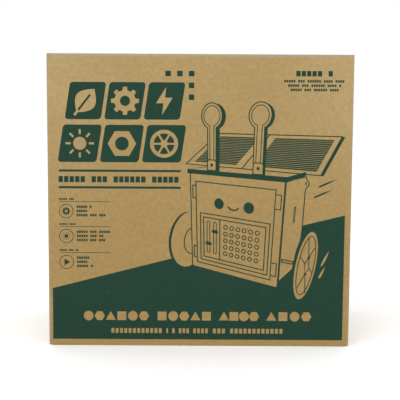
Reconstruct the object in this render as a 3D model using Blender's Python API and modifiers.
"""Solar robot kit: a hinged kraft carton holding a plywood solar robot, its card insert and a booklet.

The carton stands on its tuck edge with the printed lid facing -Y. Its lid swings up about the top front
edge. Dimensions are in millimetres and are turned into metres where objects are made.
The origin is the middle of the carton's base, +X to the right of the printed lid, +Z up.
"""

import math

import bmesh
import bpy

MM = 0.001
GAP = 0.3  # clearance kept between neighbouring pieces

# Carton
CARTON_W = 220.0
CARTON_H = 213.0
CARTON_D = 128.0
BOARD = 1.6  # corrugated board thickness
TUCK_DEPTH = 18.0
TUCK_LIFT = 1.2  # room under the tuck flap, for its arc as the lid opens
EAR_DEPTH = 40.0
EAR_Z = (25.0, 180.0)
LID_CORNER_R = 3.0
HALF_W = CARTON_W / 2
FRONT_Y = -CARTON_D / 2
BACK_Y = CARTON_D / 2
LID_INNER_Y = FRONT_Y + BOARD
INNER_WALL_X = HALF_W - 2 * BOARD - GAP  # inner face of the rolled-over side walls
BACK_INNER_Y = BACK_Y - BOARD
FLOOR_Z = BOARD

# Card insert
PAD_TOP = 3.5
PAD_FRONT_Y = -40.0
DIVIDER_X = -51.0  # middle of the divider
DIVIDER_H = 170.0

# Booklet
BOOK_W = 44.0
BOOK_H = 150.0
BOOK_SPINE_X = -99.0
COVER_T = 0.6
PAGES_T = 2.4

# Robot: local origin on the ground under the middle of its body
ROBOT_X, ROBOT_Y, ROBOT_Z = 20.0, -17.5, PAD_TOP + GAP
PLY = 3.0
BODY_HALF_W = 45.0
SIDE_X = 40.0  # inner face of the side panels
BODY_FRONT_Y = -26.0
BODY_BACK_Y = 26.0
BODY_Z0 = 15.0
BODY_Z1 = 105.0
BACK_PANEL_Y = 20.0  # inner face of the back panel
REAR_CUT = (10.0, 24.0)  # the side panels' lower rear corner is cut off along a slope
TENON_H = 12.0
TENON_Z = (26.0, 84.0)

# Face and control panel
FACE_HALF_W = 39.3
FACE_Z = (19.0, 99.0)
BEZEL_HALF_W, BEZEL_Z = 34.0, (22.5, 69.0)
BEZEL_RIM = 3.5
BEZEL_T = 2.2
PANEL_T = 1.5
SLOT_X = (-25.8, -18.7)
SLOT_Z = (31.0, 62.0)
SLOT_W = 2.2
KNOB_Z = (40.0, 53.0)
GRILLE_COLUMNS, GRILLE_ROWS = 6, 5
GRILLE_PITCH_X, GRILLE_PITCH_Z = 6.2, 6.4
GRILLE_X0, GRILLE_Z0 = -7.5, 33.2
GRILLE_R = 1.9

# Antennas
ANTENNA_X = 22.0
ANTENNA_PIVOT_Z = 113.0
ANTENNA_HEAD_Z = 152.0
ANTENNA_HEAD_R = 11.0
ANTENNA_STEM_R = 4.2
BRACKET_Y = -23.0
BRACKET_HALF_W = 4.8

# Solar array, in its own frame at the tilt pivot: +Y up the slope, +Z square to the board
PIVOT_Y, PIVOT_Z = 30.0, 97.0
TILT_DEG = 35.0
BOARD_HALF_W = 69.0
BOARD_SLOPE = (2.0, 58.0)
BOARD_OFFSET = 18.0
MODULE_X = (4.0, 62.0)
MODULE_SLOPE = (8.0, 52.0)
MODULE_T = 2.0
ARM_X = 45.6
EAR_R = 6.0

# Drive train
AXLE_Y, AXLE_Z = -11.0, 29.5
AXLE_R = 2.0
AXLE_HALF = 62.0
WHEEL_R = 29.5
WHEEL_T = 4.0
WHEEL_X = 57.0
HUB_R = 12.0
GEAR_MODULE = 0.6
BIG_TEETH, SMALL_TEETH = 32, 12
GEAR_SPREAD = 0.15  # backlash added to the centre distance
GEAR_PLATE_X = 8.0
MESH_ANGLES = (32.0, 50.0)  # directions of axle to idler and idler to motor, in degrees from +Y
MOTOR_R = 10.0
MOTOR_BACK_X = -13.0
SKID_Y = (4.0, 16.0)
BOLT_R = 1.5
BOLT_HEAD_R = 2.8

# Switch in the right side panel
SWITCH_Y = 5.0
SWITCH_SLOT_Z = (62.0, 74.0)
SWITCH_KNOB_Z = 65.0


def clear_scene():
    for obj in list(bpy.data.objects):
        bpy.data.objects.remove(obj, do_unlink=True)


def collection(name, hidden=False):
    made = bpy.data.collections.new(name)
    bpy.context.scene.collection.children.link(made)
    made.hide_render = hidden
    return made


clear_scene()
PARTS = collection("solar_robot_kit")
CUTTERS = collection("cutters")


def material(name, colour, roughness=0.8, metallic=0.0):
    made = bpy.data.materials.new(name)
    made.use_nodes = True
    shader = made.node_tree.nodes["Principled BSDF"]
    shader.inputs["Base Color"].default_value = (*colour, 1.0)
    shader.inputs["Roughness"].default_value = roughness
    shader.inputs["Metallic"].default_value = metallic
    return made


KRAFT = material("kraft_board", (0.50, 0.35, 0.18), 0.9)
PAPER = material("booklet_paper", (0.80, 0.76, 0.66), 0.85)
PLYWOOD = material("plywood", (0.72, 0.52, 0.30), 0.7)
STEEL = material("steel", (0.62, 0.62, 0.64), 0.3, 1.0)
NYLON = material("white_nylon", (0.86, 0.86, 0.83), 0.45)
BLACK = material("black_plastic", (0.03, 0.03, 0.035), 0.45)
CELLS = material("solar_cells", (0.02, 0.05, 0.14), 0.2)
GREEN = material("green_paint", (0.03, 0.10, 0.07), 0.5)


def empty(name, x, y, z, parent=None, tilt=0.0):
    made = bpy.data.objects.new(name, None)
    made.location = (x * MM, y * MM, z * MM)
    made.rotation_euler = (math.radians(tilt), 0.0, 0.0)
    made.parent = parent
    PARTS.objects.link(made)
    return made


def finish(obj, look, parent=None, home=None):
    """Gives an object its material and parent, and links it."""
    if look is not None:
        obj.data.materials.append(look)
    obj.parent = parent
    (home or PARTS).objects.link(obj)
    return obj


def circle(x, y, r, count=24):
    step = 2 * math.pi / count
    return [(x + r * math.cos(i * step), y + r * math.sin(i * step)) for i in range(count)]


def arc(x, y, r, start, end, count=5):
    """Points on an arc, with angles in degrees."""
    angles = [math.radians(start + (end - start) * i / (count - 1)) for i in range(count)]
    return [(x + r * math.cos(a), y + r * math.sin(a)) for a in angles]


def rectangle(x0, x1, y0, y1):
    return [(x0, y0), (x1, y0), (x1, y1), (x0, y1)]


def rounded(x0, x1, y0, y1, r, count=4):
    """A rectangle with round corners."""
    return (
        arc(x0 + r, y0 + r, r, 180, 270, count)
        + arc(x1 - r, y0 + r, r, 270, 360, count)
        + arc(x1 - r, y1 - r, r, 0, 90, count)
        + arc(x0 + r, y1 - r, r, 90, 180, count)
    )


PLANES = {
    "XY": (0.0, 0.0, 0.0),
    "XZ": (math.pi / 2, 0.0, 0.0),
    "YZ": (math.pi / 2, 0.0, math.pi / 2),
}


def plate(name, plane, low, high, outline, holes=(), look=None, parent=None):
    """A flat cut-out in the named plane, from low to high along the plane's normal."""
    flat = bpy.data.curves.new(name, "CURVE")
    flat.dimensions = "2D"
    flat.fill_mode = "BOTH"
    flat.extrude = (high - low) / 2 * MM
    for points in [outline, *holes]:
        spline = flat.splines.new("POLY")
        spline.points.add(len(points) - 1)
        for point, (u, v) in zip(spline.points, points):
            point.co = (u * MM, v * MM, 0.0, 1.0)
        spline.use_cyclic_u = True
    obj = bpy.data.objects.new(name, flat)
    obj.rotation_euler = PLANES[plane]
    middle = (low + high) / 2 * MM
    obj.location = {"XY": (0, 0, middle), "XZ": (0, middle, 0), "YZ": (middle, 0, 0)}[plane]
    return finish(obj, look, parent)


def block(name, x, y, z, look, parent=None, edge=0.0):
    """A box between the (low, high) pairs x, y and z, with its edges softened by edge."""
    mesh = bpy.data.meshes.new(name)
    shape = bmesh.new()
    bmesh.ops.create_cube(shape, size=1.0)
    for vertex in shape.verts:
        for axis, (low, high) in enumerate((x, y, z)):
            vertex.co[axis] = (low if vertex.co[axis] < 0 else high) * MM
    shape.to_mesh(mesh)
    shape.free()
    obj = finish(bpy.data.objects.new(name, mesh), look, parent)
    if edge:
        bevel = obj.modifiers.new("soft_edges", "BEVEL")
        bevel.width = edge * MM
        bevel.segments = 2
    return obj


def turned(name, axis, centre, profile, look, parent=None, steps=20):
    """A solid of revolution. profile is (distance along the axis, radius), from the high end to the low."""
    mesh = bpy.data.meshes.new(name)
    ends = [(profile[0][0], 0.0), *profile, (profile[-1][0], 0.0)]
    points = [(radius * MM, 0.0, along * MM) for along, radius in ends]
    mesh.from_pydata(points, [(i, i + 1) for i in range(len(points) - 1)], [])
    obj = finish(bpy.data.objects.new(name, mesh), look, parent)
    screw = obj.modifiers.new("turn", "SCREW")
    screw.steps = screw.render_steps = steps
    screw.use_merge_vertices = True
    screw.merge_threshold = 0.00001
    if axis == "X":
        obj.rotation_euler = (0.0, math.pi / 2, 0.0)
        obj.location = (0.0, centre[0] * MM, centre[1] * MM)
    elif axis == "Y":
        obj.rotation_euler = (-math.pi / 2, 0.0, 0.0)
        obj.location = (centre[0] * MM, 0.0, centre[1] * MM)
    return obj


def as_mesh(obj):
    """The same object as a mesh with welded caps, ready for a Boolean."""
    bpy.context.view_layer.update()
    graph = bpy.context.evaluated_depsgraph_get()
    mesh = bpy.data.meshes.new_from_object(obj.evaluated_get(graph))
    shape = bmesh.new()
    shape.from_mesh(mesh)
    bmesh.ops.remove_doubles(shape, verts=shape.verts, dist=0.000001)
    bmesh.ops.recalc_face_normals(shape, faces=shape.faces)
    shape.to_mesh(mesh)
    shape.free()
    name, parent, place = obj.name, obj.parent, obj.matrix_local.copy()
    bpy.data.objects.remove(obj, do_unlink=True)
    made = bpy.data.objects.new(name, mesh)
    made.parent = parent
    made.matrix_local = place
    PARTS.objects.link(made)
    return made


def combine(obj, tool, operation):
    """Adds a Boolean of tool to obj, and puts the tool among the cutters."""
    step = obj.modifiers.new(operation.lower(), "BOOLEAN")
    step.operation = operation
    step.object = tool
    PARTS.objects.unlink(tool)
    CUTTERS.objects.link(tool)
    tool.hide_render = True
    tool.display_type = "WIRE"
    return obj


def gear_outline(y, z, teeth, phase):
    """A spur gear's outline with straight-flanked teeth. phase is the direction of one tooth, in radians."""
    pitch_r = GEAR_MODULE * teeth / 2
    tip_r = pitch_r + 0.85 * GEAR_MODULE
    root_r = pitch_r - 1.2 * GEAR_MODULE
    step = 2 * math.pi / teeth
    corners = ((root_r, -0.30), (tip_r, -0.10), (tip_r, 0.10), (root_r, 0.30))
    return [
        (y + r * math.cos(phase + (k + share) * step), z + r * math.sin(phase + (k + share) * step))
        for k in range(teeth)
        for r, share in corners
    ]


def build_carton():
    wall_y = (LID_INNER_Y + GAP, BACK_INNER_Y - GAP)
    wall_z = (BOARD + GAP, CARTON_H - BOARD - GAP)
    lid_z = (GAP, CARTON_H - GAP)
    block("carton_back_panel", (-HALF_W, HALF_W), (BACK_INNER_Y, BACK_Y), (BOARD + GAP, wall_z[1]), KRAFT)
    floor_y = (wall_y[0], BACK_Y)
    block("carton_bottom_wall", (-HALF_W, HALF_W), floor_y, (0, BOARD), KRAFT)
    block("carton_top_wall", (-HALF_W, HALF_W), floor_y, (CARTON_H - BOARD, CARTON_H), KRAFT)
    for side, sign in (("left", -1), ("right", 1)):
        outer = sorted((sign * HALF_W, sign * (HALF_W - BOARD)))
        inner = sorted((sign * INNER_WALL_X, sign * (INNER_WALL_X + BOARD)))
        block(f"carton_{side}_outer_wall", outer, wall_y, wall_z, KRAFT)
        block(f"carton_{side}_inner_wall", inner, wall_y, wall_z, KRAFT)

    lid = empty("lid_hinge", 0, LID_INNER_Y, CARTON_H)
    low = (lid_z[0] - CARTON_H, lid_z[1] - CARTON_H)
    outline = (
        arc(-HALF_W + LID_CORNER_R, low[0] + LID_CORNER_R, LID_CORNER_R, 180, 270)
        + arc(HALF_W - LID_CORNER_R, low[0] + LID_CORNER_R, LID_CORNER_R, 270, 360)
        + [(HALF_W, low[1]), (-HALF_W, low[1])]
    )
    plate("lid_panel", "XZ", -BOARD, 0, outline, (), KRAFT, lid)

    flap_z = FLOOR_Z + TUCK_LIFT + BOARD  # the tuck flap's upper face
    flap_half = INNER_WALL_X - 0.7 - BOARD - GAP
    tuck = empty("tuck_crease", 0, LID_INNER_Y, flap_z)
    flap = (
        [(-flap_half, GAP), (flap_half, GAP)]
        + arc(flap_half - 4, TUCK_DEPTH - 4, 4, 0, 90)
        + arc(-flap_half + 4, TUCK_DEPTH - 4, 4, 90, 180)
    )
    plate("lid_tuck_flap", "XY", -BOARD, 0, flap, (), KRAFT, tuck)
    low, high = EAR_Z
    ear = [
        (GAP, low),
        (EAR_DEPTH - 10, low + 6),
        *arc(EAR_DEPTH - 10, low + 16, 10, -60, 0),
        *arc(EAR_DEPTH - 10, high - 16, 10, 0, 60),
        (EAR_DEPTH - 10, high - 6),
        (GAP, high),
    ]
    for side, sign in (("left", -1), ("right", 1)):
        crease = empty(f"ear_crease_{side}", sign * (flap_half + GAP), LID_INNER_Y, 0)
        plate(f"lid_ear_{side}", "YZ", *sorted((0, sign * BOARD)), ear, (), KRAFT, crease)


def build_insert_and_booklet():
    right = INNER_WALL_X - GAP
    left = DIVIDER_X + BOARD / 2 + GAP
    back = BACK_INNER_Y - GAP
    floor = FLOOR_Z + GAP
    block("insert_pad", (left, right), (PAD_FRONT_Y, back), (floor, PAD_TOP), KRAFT)
    divider = [
        (PAD_FRONT_Y, floor),
        (back, floor),
        (back, DIVIDER_H),
        *arc(PAD_FRONT_Y + 30, DIVIDER_H - 30, 30, 90, 180, 7),
    ]
    plate("insert_divider", "YZ", DIVIDER_X - BOARD / 2, DIVIDER_X + BOARD / 2, divider, (), KRAFT)

    book_x = (BOOK_SPINE_X, BOOK_SPINE_X + BOOK_W)
    book_z = (floor, floor + BOOK_H)
    pages_y = back - COVER_T - GAP
    block("booklet_back_cover", book_x, (back - COVER_T, back), book_z, PAPER)
    page_z = (book_z[0] + 1, book_z[1] - 1)
    block("booklet_pages", (book_x[0] + 0.5, book_x[1] - 1), (pages_y - PAGES_T, pages_y), page_z, PAPER)
    cover_y = pages_y - PAGES_T - GAP
    hinge = empty("booklet_hinge", BOOK_SPINE_X, cover_y, 0)
    block("booklet_front_cover", (0, BOOK_W), (-COVER_T, 0), book_z, PAPER, hinge)


def build_body(robot):
    front_holes = [
        rectangle(x - GAP, x + PLY + GAP, z - GAP, z + TENON_H + GAP)
        for x in (-SIDE_X - PLY, SIDE_X)
        for z in TENON_Z
    ]
    front = rounded(-BODY_HALF_W, BODY_HALF_W, BODY_Z0, BODY_Z1 - GAP, 3.0)
    plate("front_panel", "XZ", BODY_FRONT_Y, BODY_FRONT_Y + PLY, front, front_holes, PLYWOOD, robot)

    panel_y = BODY_FRONT_Y + PLY + GAP
    top = BODY_Z1 - GAP
    side = [(panel_y, BODY_Z0)]
    side += [(BODY_BACK_Y - REAR_CUT[0], BODY_Z0), (BODY_BACK_Y, BODY_Z0 + REAR_CUT[1])]
    side += [(BODY_BACK_Y, PIVOT_Z - EAR_R)]
    side += arc(PIVOT_Y, PIVOT_Z, EAR_R, -90, 90, 9)
    side += [(BODY_BACK_Y, PIVOT_Z + EAR_R), (BODY_BACK_Y, top), (panel_y, top)]
    for z in reversed(TENON_Z):
        side += [(panel_y, z + TENON_H), (BODY_FRONT_Y, z + TENON_H), (BODY_FRONT_Y, z), (panel_y, z)]
    for name, low in (("left", -SIDE_X - PLY), ("right", SIDE_X)):
        holes = [circle(AXLE_Y, AXLE_Z, 4.0), circle(PIVOT_Y, PIVOT_Z, BOLT_R + GAP, 16)]
        if name == "right":
            holes.append(rounded(SWITCH_Y - 1.6, SWITCH_Y + 1.6, *SWITCH_SLOT_Z, 1.5))
        plate(f"side_panel_{name}", "YZ", low, low + PLY, side, holes, PLYWOOD, robot)

    inner = SIDE_X - GAP
    wire_holes = [circle(x, 70, 3.0, 16) for x in (-10, 10)]
    back = rectangle(-inner, inner, BODY_Z0 + REAR_CUT[1] + 2, top)
    plate("back_panel", "XZ", BACK_PANEL_Y, BACK_PANEL_Y + PLY, back, wire_holes, PLYWOOD, robot)
    floor = rectangle(-inner, inner, panel_y, BODY_BACK_Y - REAR_CUT[0] - 0.5)
    plate("floor_panel", "XY", BODY_Z0, BODY_Z0 + PLY, floor, (), PLYWOOD, robot)
    slots = [
        rectangle(x - 3 - GAP, x + 3 + GAP, BRACKET_Y - GAP, BRACKET_Y + PLY + GAP)
        for x in (-ANTENNA_X, ANTENNA_X)
    ]
    lid = rounded(-BODY_HALF_W, BODY_HALF_W, BODY_FRONT_Y - 2, BODY_BACK_Y, 1.5)
    plate("top_panel", "XY", BODY_Z1, BODY_Z1 + PLY, lid, slots, PLYWOOD, robot)

    skid = [
        (SKID_Y[0], BODY_Z0 - GAP),
        *arc(SKID_Y[0] + 5, 5, 5, 180, 270),
        *arc(SKID_Y[1] - 5, 5, 5, 270, 360),
        (SKID_Y[1], BODY_Z0 - GAP),
    ]
    plate("rear_skid", "YZ", -PLY / 2, PLY / 2, skid, (), PLYWOOD, robot)


def build_face(robot):
    face_y = BODY_FRONT_Y - GAP
    face = rounded(-FACE_HALF_W, FACE_HALF_W, *FACE_Z, 1.0)
    plate("face_panel", "XZ", face_y - PLY, face_y, face, (), PLYWOOD, robot)

    bezel_y = face_y - PLY - GAP
    outer = rounded(-BEZEL_HALF_W, BEZEL_HALF_W, *BEZEL_Z, 1.0)
    inner_w = BEZEL_HALF_W - BEZEL_RIM
    inner_z = (BEZEL_Z[0] + BEZEL_RIM, BEZEL_Z[1] - BEZEL_RIM)
    hole = rectangle(-inner_w, inner_w, *inner_z)
    plate("control_bezel", "XZ", bezel_y - BEZEL_T, bezel_y, outer, [hole], PLYWOOD, robot)

    slots = [rectangle(x - SLOT_W / 2, x + SLOT_W / 2, *SLOT_Z) for x in SLOT_X]
    grille = [
        circle(GRILLE_X0 + i * GRILLE_PITCH_X, GRILLE_Z0 + k * GRILLE_PITCH_Z, GRILLE_R, 10)
        for i in range(GRILLE_COLUMNS)
        for k in range(GRILLE_ROWS)
    ]
    panel = rectangle(-inner_w + GAP, inner_w - GAP, inner_z[0] + GAP, inner_z[1] - GAP)
    plate("control_panel", "XZ", bezel_y - PANEL_T, bezel_y, panel, slots + grille, PLYWOOD, robot)

    cap_y = bezel_y - PANEL_T - GAP
    for side, x, z in zip(("left", "right"), SLOT_X, KNOB_Z):
        knob = empty(f"slider_rail_{side}", x, 0, z, robot)
        profile = [
            (-0.8, bezel_y - GAP),
            (-0.8, cap_y),
            (-2.4, cap_y),
            (-2.4, cap_y - 1.6),
            (-1.6, cap_y - 2.2),
            (1.6, cap_y - 2.2),
            (2.4, cap_y - 1.6),
            (2.4, cap_y),
            (0.8, cap_y),
            (0.8, bezel_y - GAP),
        ]
        plate(f"slider_knob_{side}", "XY", -1.7, 1.7, profile, (), GREEN, knob)


def build_antennas(robot):
    neck = math.asin(ANTENNA_STEM_R / ANTENNA_HEAD_R)
    neck_deg = math.degrees(neck)
    rise = ANTENNA_HEAD_Z - ANTENNA_PIVOT_Z
    front = BRACKET_Y + PLY + GAP
    for side, x in (("left", -ANTENNA_X), ("right", ANTENNA_X)):
        bracket = [
            (x - 3, BODY_Z1),
            (x + 3, BODY_Z1),
            (x + 3, BODY_Z1 + PLY + GAP),
            (x + BRACKET_HALF_W, BODY_Z1 + PLY + GAP),
            *arc(x + BRACKET_HALF_W - 2, 116.5, 2, 0, 90),
            *arc(x - BRACKET_HALF_W + 2, 116.5, 2, 90, 180),
            (x - BRACKET_HALF_W, BODY_Z1 + PLY + GAP),
            (x - 3, BODY_Z1 + PLY + GAP),
        ]
        hole = circle(x, ANTENNA_PIVOT_Z, BOLT_R + GAP, 16)
        plate(f"antenna_bracket_{side}", "XZ", BRACKET_Y, BRACKET_Y + PLY, bracket, [hole], PLYWOOD, robot)

        pivot = empty(f"antenna_pivot_{side}", x, 0, ANTENNA_PIVOT_Z, robot)
        shape = arc(0, 0, ANTENNA_STEM_R, 180, 360, 9)
        shape += arc(0, rise, ANTENNA_HEAD_R, -90 + neck_deg, 270 - neck_deg, 25)
        hole = circle(0, 0, BOLT_R + GAP, 16)
        plate(f"antenna_{side}", "XZ", front, front + PLY, shape, [hole], PLYWOOD, pivot)

        back = front + PLY + GAP
        profile = [
            (back + 3.2, BOLT_R),
            (back + 2.4, BOLT_R),
            (back + 2.4, 2.6),
            (back, 2.6),
            (back, BOLT_R),
            (BRACKET_Y - GAP, BOLT_R),
            (BRACKET_Y - GAP, BOLT_HEAD_R),
            (BRACKET_Y - GAP - 1.4, BOLT_HEAD_R),
            (BRACKET_Y - GAP - 2.2, 1.4),
        ]
        turned(f"antenna_bolt_{side}", "Y", (x, ANTENNA_PIVOT_Z), profile, STEEL, robot, 16)


def build_solar_array(robot):
    array = empty("tilt_pivot", 0, PIVOT_Y, PIVOT_Z, robot, TILT_DEG)
    board = rounded(-BOARD_HALF_W, BOARD_HALF_W, *BOARD_SLOPE, 2)
    board_top = BOARD_OFFSET + PLY
    plate("solar_board", "XY", BOARD_OFFSET, board_top, board, (), PLYWOOD, array)
    for side, sign in (("left", -1), ("right", 1)):
        x = sorted(sign * value for value in MODULE_X)
        module_z = (board_top + GAP, board_top + GAP + MODULE_T)
        block(f"solar_module_{side}", x, MODULE_SLOPE, module_z, CELLS, array, 0.3)
        arm_top = BOARD_OFFSET - GAP
        arm = [
            *arc(0, 0, 5, 170, 350, 9),
            (12, arm_top - 3),
            (24, arm_top - 3),
            (24, arm_top),
            (3, arm_top),
        ]
        arm_x = sorted((sign * ARM_X, sign * (ARM_X + PLY)))
        hole = circle(0, 0, BOLT_R + GAP, 16)
        plate(f"solar_arm_{side}", "YZ", *arm_x, arm, [hole], PLYWOOD, array)

        outer = ARM_X + PLY + GAP
        half = [
            (outer + 2.2, 1.4),
            (outer + 1.4, BOLT_HEAD_R),
            (outer, BOLT_HEAD_R),
            (outer, BOLT_R),
            (ARM_X - GAP, BOLT_R),
            (ARM_X - GAP, 3.2),
            (SIDE_X + PLY + GAP, 3.2),
            (SIDE_X + PLY + GAP, BOLT_R),
            (SIDE_X - GAP, BOLT_R),
            (SIDE_X - GAP, 2.6),
            (SIDE_X - GAP - 2.4, 2.6),
        ]
        profile = half if sign > 0 else [(-along, radius) for along, radius in reversed(half)]
        turned(f"tilt_bolt_{side}", "X", (PIVOT_Y, PIVOT_Z), profile, STEEL, robot, 16)


def build_drive(robot):
    centre = (AXLE_Y, AXLE_Z)
    spin = empty("axle_line", 0, *centre, robot)
    rod = [(AXLE_HALF, AXLE_R), (-AXLE_HALF, AXLE_R)]
    turned("axle", "X", (0, 0), rod, STEEL, spin)
    bore = AXLE_R + GAP
    for side, sign in (("left", -1), ("right", 1)):
        wheel_x = sorted((sign * WHEEL_X, sign * (WHEEL_X + WHEEL_T)))
        hole = circle(0, 0, bore, 16)
        plate(f"wheel_{side}", "YZ", *wheel_x, circle(0, 0, WHEEL_R, 64), [hole], PLYWOOD, spin)
        hub_x = sorted((sign * (WHEEL_X - GAP - PLY), sign * (WHEEL_X - GAP)))
        plate(f"hub_disc_{side}", "YZ", *hub_x, circle(0, 0, HUB_R, 32), [hole], PLYWOOD, spin)

        body = sorted((sign * (SIDE_X - 1), sign * (SIDE_X + PLY + GAP + 0.5)))
        flange = sorted((sign * (SIDE_X + PLY + GAP), sign * (SIDE_X + PLY + 1.5)))
        bush = plate(f"axle_bush_{side}", "YZ", *body, circle(*centre, 4.0 - GAP), (), NYLON, robot)
        collar = plate(f"bush_flange_{side}", "YZ", *flange, circle(*centre, 6.0), (), None, robot)
        drill = plate(f"bush_bore_{side}", "YZ", *sorted((sign * 36, sign * 50)), circle(*centre, bore, 16), (), None, robot)
        bush = combine(as_mesh(bush), as_mesh(collar), "UNION")
        combine(bush, as_mesh(drill), "DIFFERENCE")

    pitch = GEAR_MODULE * (BIG_TEETH + SMALL_TEETH) / 2 + GEAR_SPREAD
    first, second = (math.radians(a) for a in MESH_ANGLES)
    idler = (centre[0] + pitch * math.cos(first), centre[1] + pitch * math.sin(first))
    motor = (idler[0] + pitch * math.cos(second), idler[1] + pitch * math.sin(second))
    face = GEAR_PLATE_X + PLY  # the gear side of the gear plate

    big = gear_outline(0, 0, BIG_TEETH, first)
    plate("axle_gear", "YZ", face + 5.8, face + 9.8, big, [circle(0, 0, bore, 16)], NYLON, spin)

    turn = empty("idler_line", 0, *idler, robot)
    small_phase = first + math.pi + math.pi / SMALL_TEETH
    small = gear_outline(0, 0, SMALL_TEETH, small_phase)
    wide = gear_outline(0, 0, BIG_TEETH, second)
    gear = plate("idler_gear", "YZ", face + 1, face + 5, wide, (), NYLON, turn)
    pinion = plate("idler_pinion", "YZ", face + 4, face + 10, small, (), None, turn)
    drill = plate("idler_bore", "YZ", face, face + 12, circle(0, 0, 1.3, 16), (), None, turn)
    gear = combine(as_mesh(gear), as_mesh(pinion), "UNION")
    combine(gear, as_mesh(drill), "DIFFERENCE")
    pin = [(face + 11.8, 1.0), (face + 0.4, 1.0), (GEAR_PLATE_X - 0.3, 1.0), (GEAR_PLATE_X - 0.3, 2.0)]
    pin.append((GEAR_PLATE_X - 1.3, 2.0))
    turned("idler_shaft", "X", idler, pin, STEEL, robot, 16)

    holes = [circle(*centre, 3.0), circle(*idler, 1.3, 16), circle(*motor, 3.6)]
    low, rear = BODY_Z0 + PLY + GAP, BACK_PANEL_Y - GAP
    sheet = [(-20, low), (BODY_BACK_Y - REAR_CUT[0] - 1, low), (rear, low + 8), (rear, 64), (-20, 64)]
    plate("gear_plate", "YZ", GEAR_PLATE_X, face, sheet, holes, PLYWOOD, robot)

    can = [
        (face - 0.2, 3.0),
        (GEAR_PLATE_X - GAP, 3.0),
        (GEAR_PLATE_X - GAP, MOTOR_R - 0.8),
        (GEAR_PLATE_X - GAP - 0.8, MOTOR_R),
        (MOTOR_BACK_X, MOTOR_R),
    ]
    turned("motor_can", "X", motor, can, STEEL, robot, 28)
    cap_x = MOTOR_BACK_X - GAP
    cap = [(cap_x, MOTOR_R - 0.4), (cap_x - 2, MOTOR_R - 0.4), (cap_x - 3, MOTOR_R - 1.4)]
    cap += [(cap_x - 3, 3.0), (cap_x - 4.5, 3.0)]
    turned("motor_end_cap", "X", motor, cap, BLACK, robot, 28)

    rotor = empty("motor_line", 0, *motor, robot)
    pinion_phase = second + math.pi + math.pi / SMALL_TEETH
    teeth = gear_outline(0, 0, SMALL_TEETH, pinion_phase)
    gear = plate("motor_pinion", "YZ", face + 0.8, face + 5.4, teeth, (), NYLON, rotor)
    shaft = plate("motor_shaft", "YZ", face + 0.2, face + 7, circle(0, 0, 1.0, 16), (), None, rotor)
    combine(as_mesh(gear), as_mesh(shaft), "UNION")


def build_switch(robot):
    body_x = (SIDE_X - 7, SIDE_X - GAP)
    body_y = (SWITCH_Y - 4, SWITCH_Y + 4)
    block("switch_body", body_x, body_y, (SWITCH_SLOT_Z[0] - 2, SWITCH_SLOT_Z[1] + 2), BLACK, robot)
    rail = empty("switch_rail", 0, SWITCH_Y, SWITCH_KNOB_Z, robot)
    block("switch_knob", (SIDE_X, SIDE_X + PLY + 2.4), (-1.2, 1.2), (-2, 2), BLACK, rail, 0.3)


def build_robot():
    robot = empty("robot", ROBOT_X, ROBOT_Y, ROBOT_Z)
    build_body(robot)
    build_face(robot)
    build_antennas(robot)
    build_solar_array(robot)
    build_drive(robot)
    build_switch(robot)


build_carton()
build_insert_and_booklet()
build_robot()
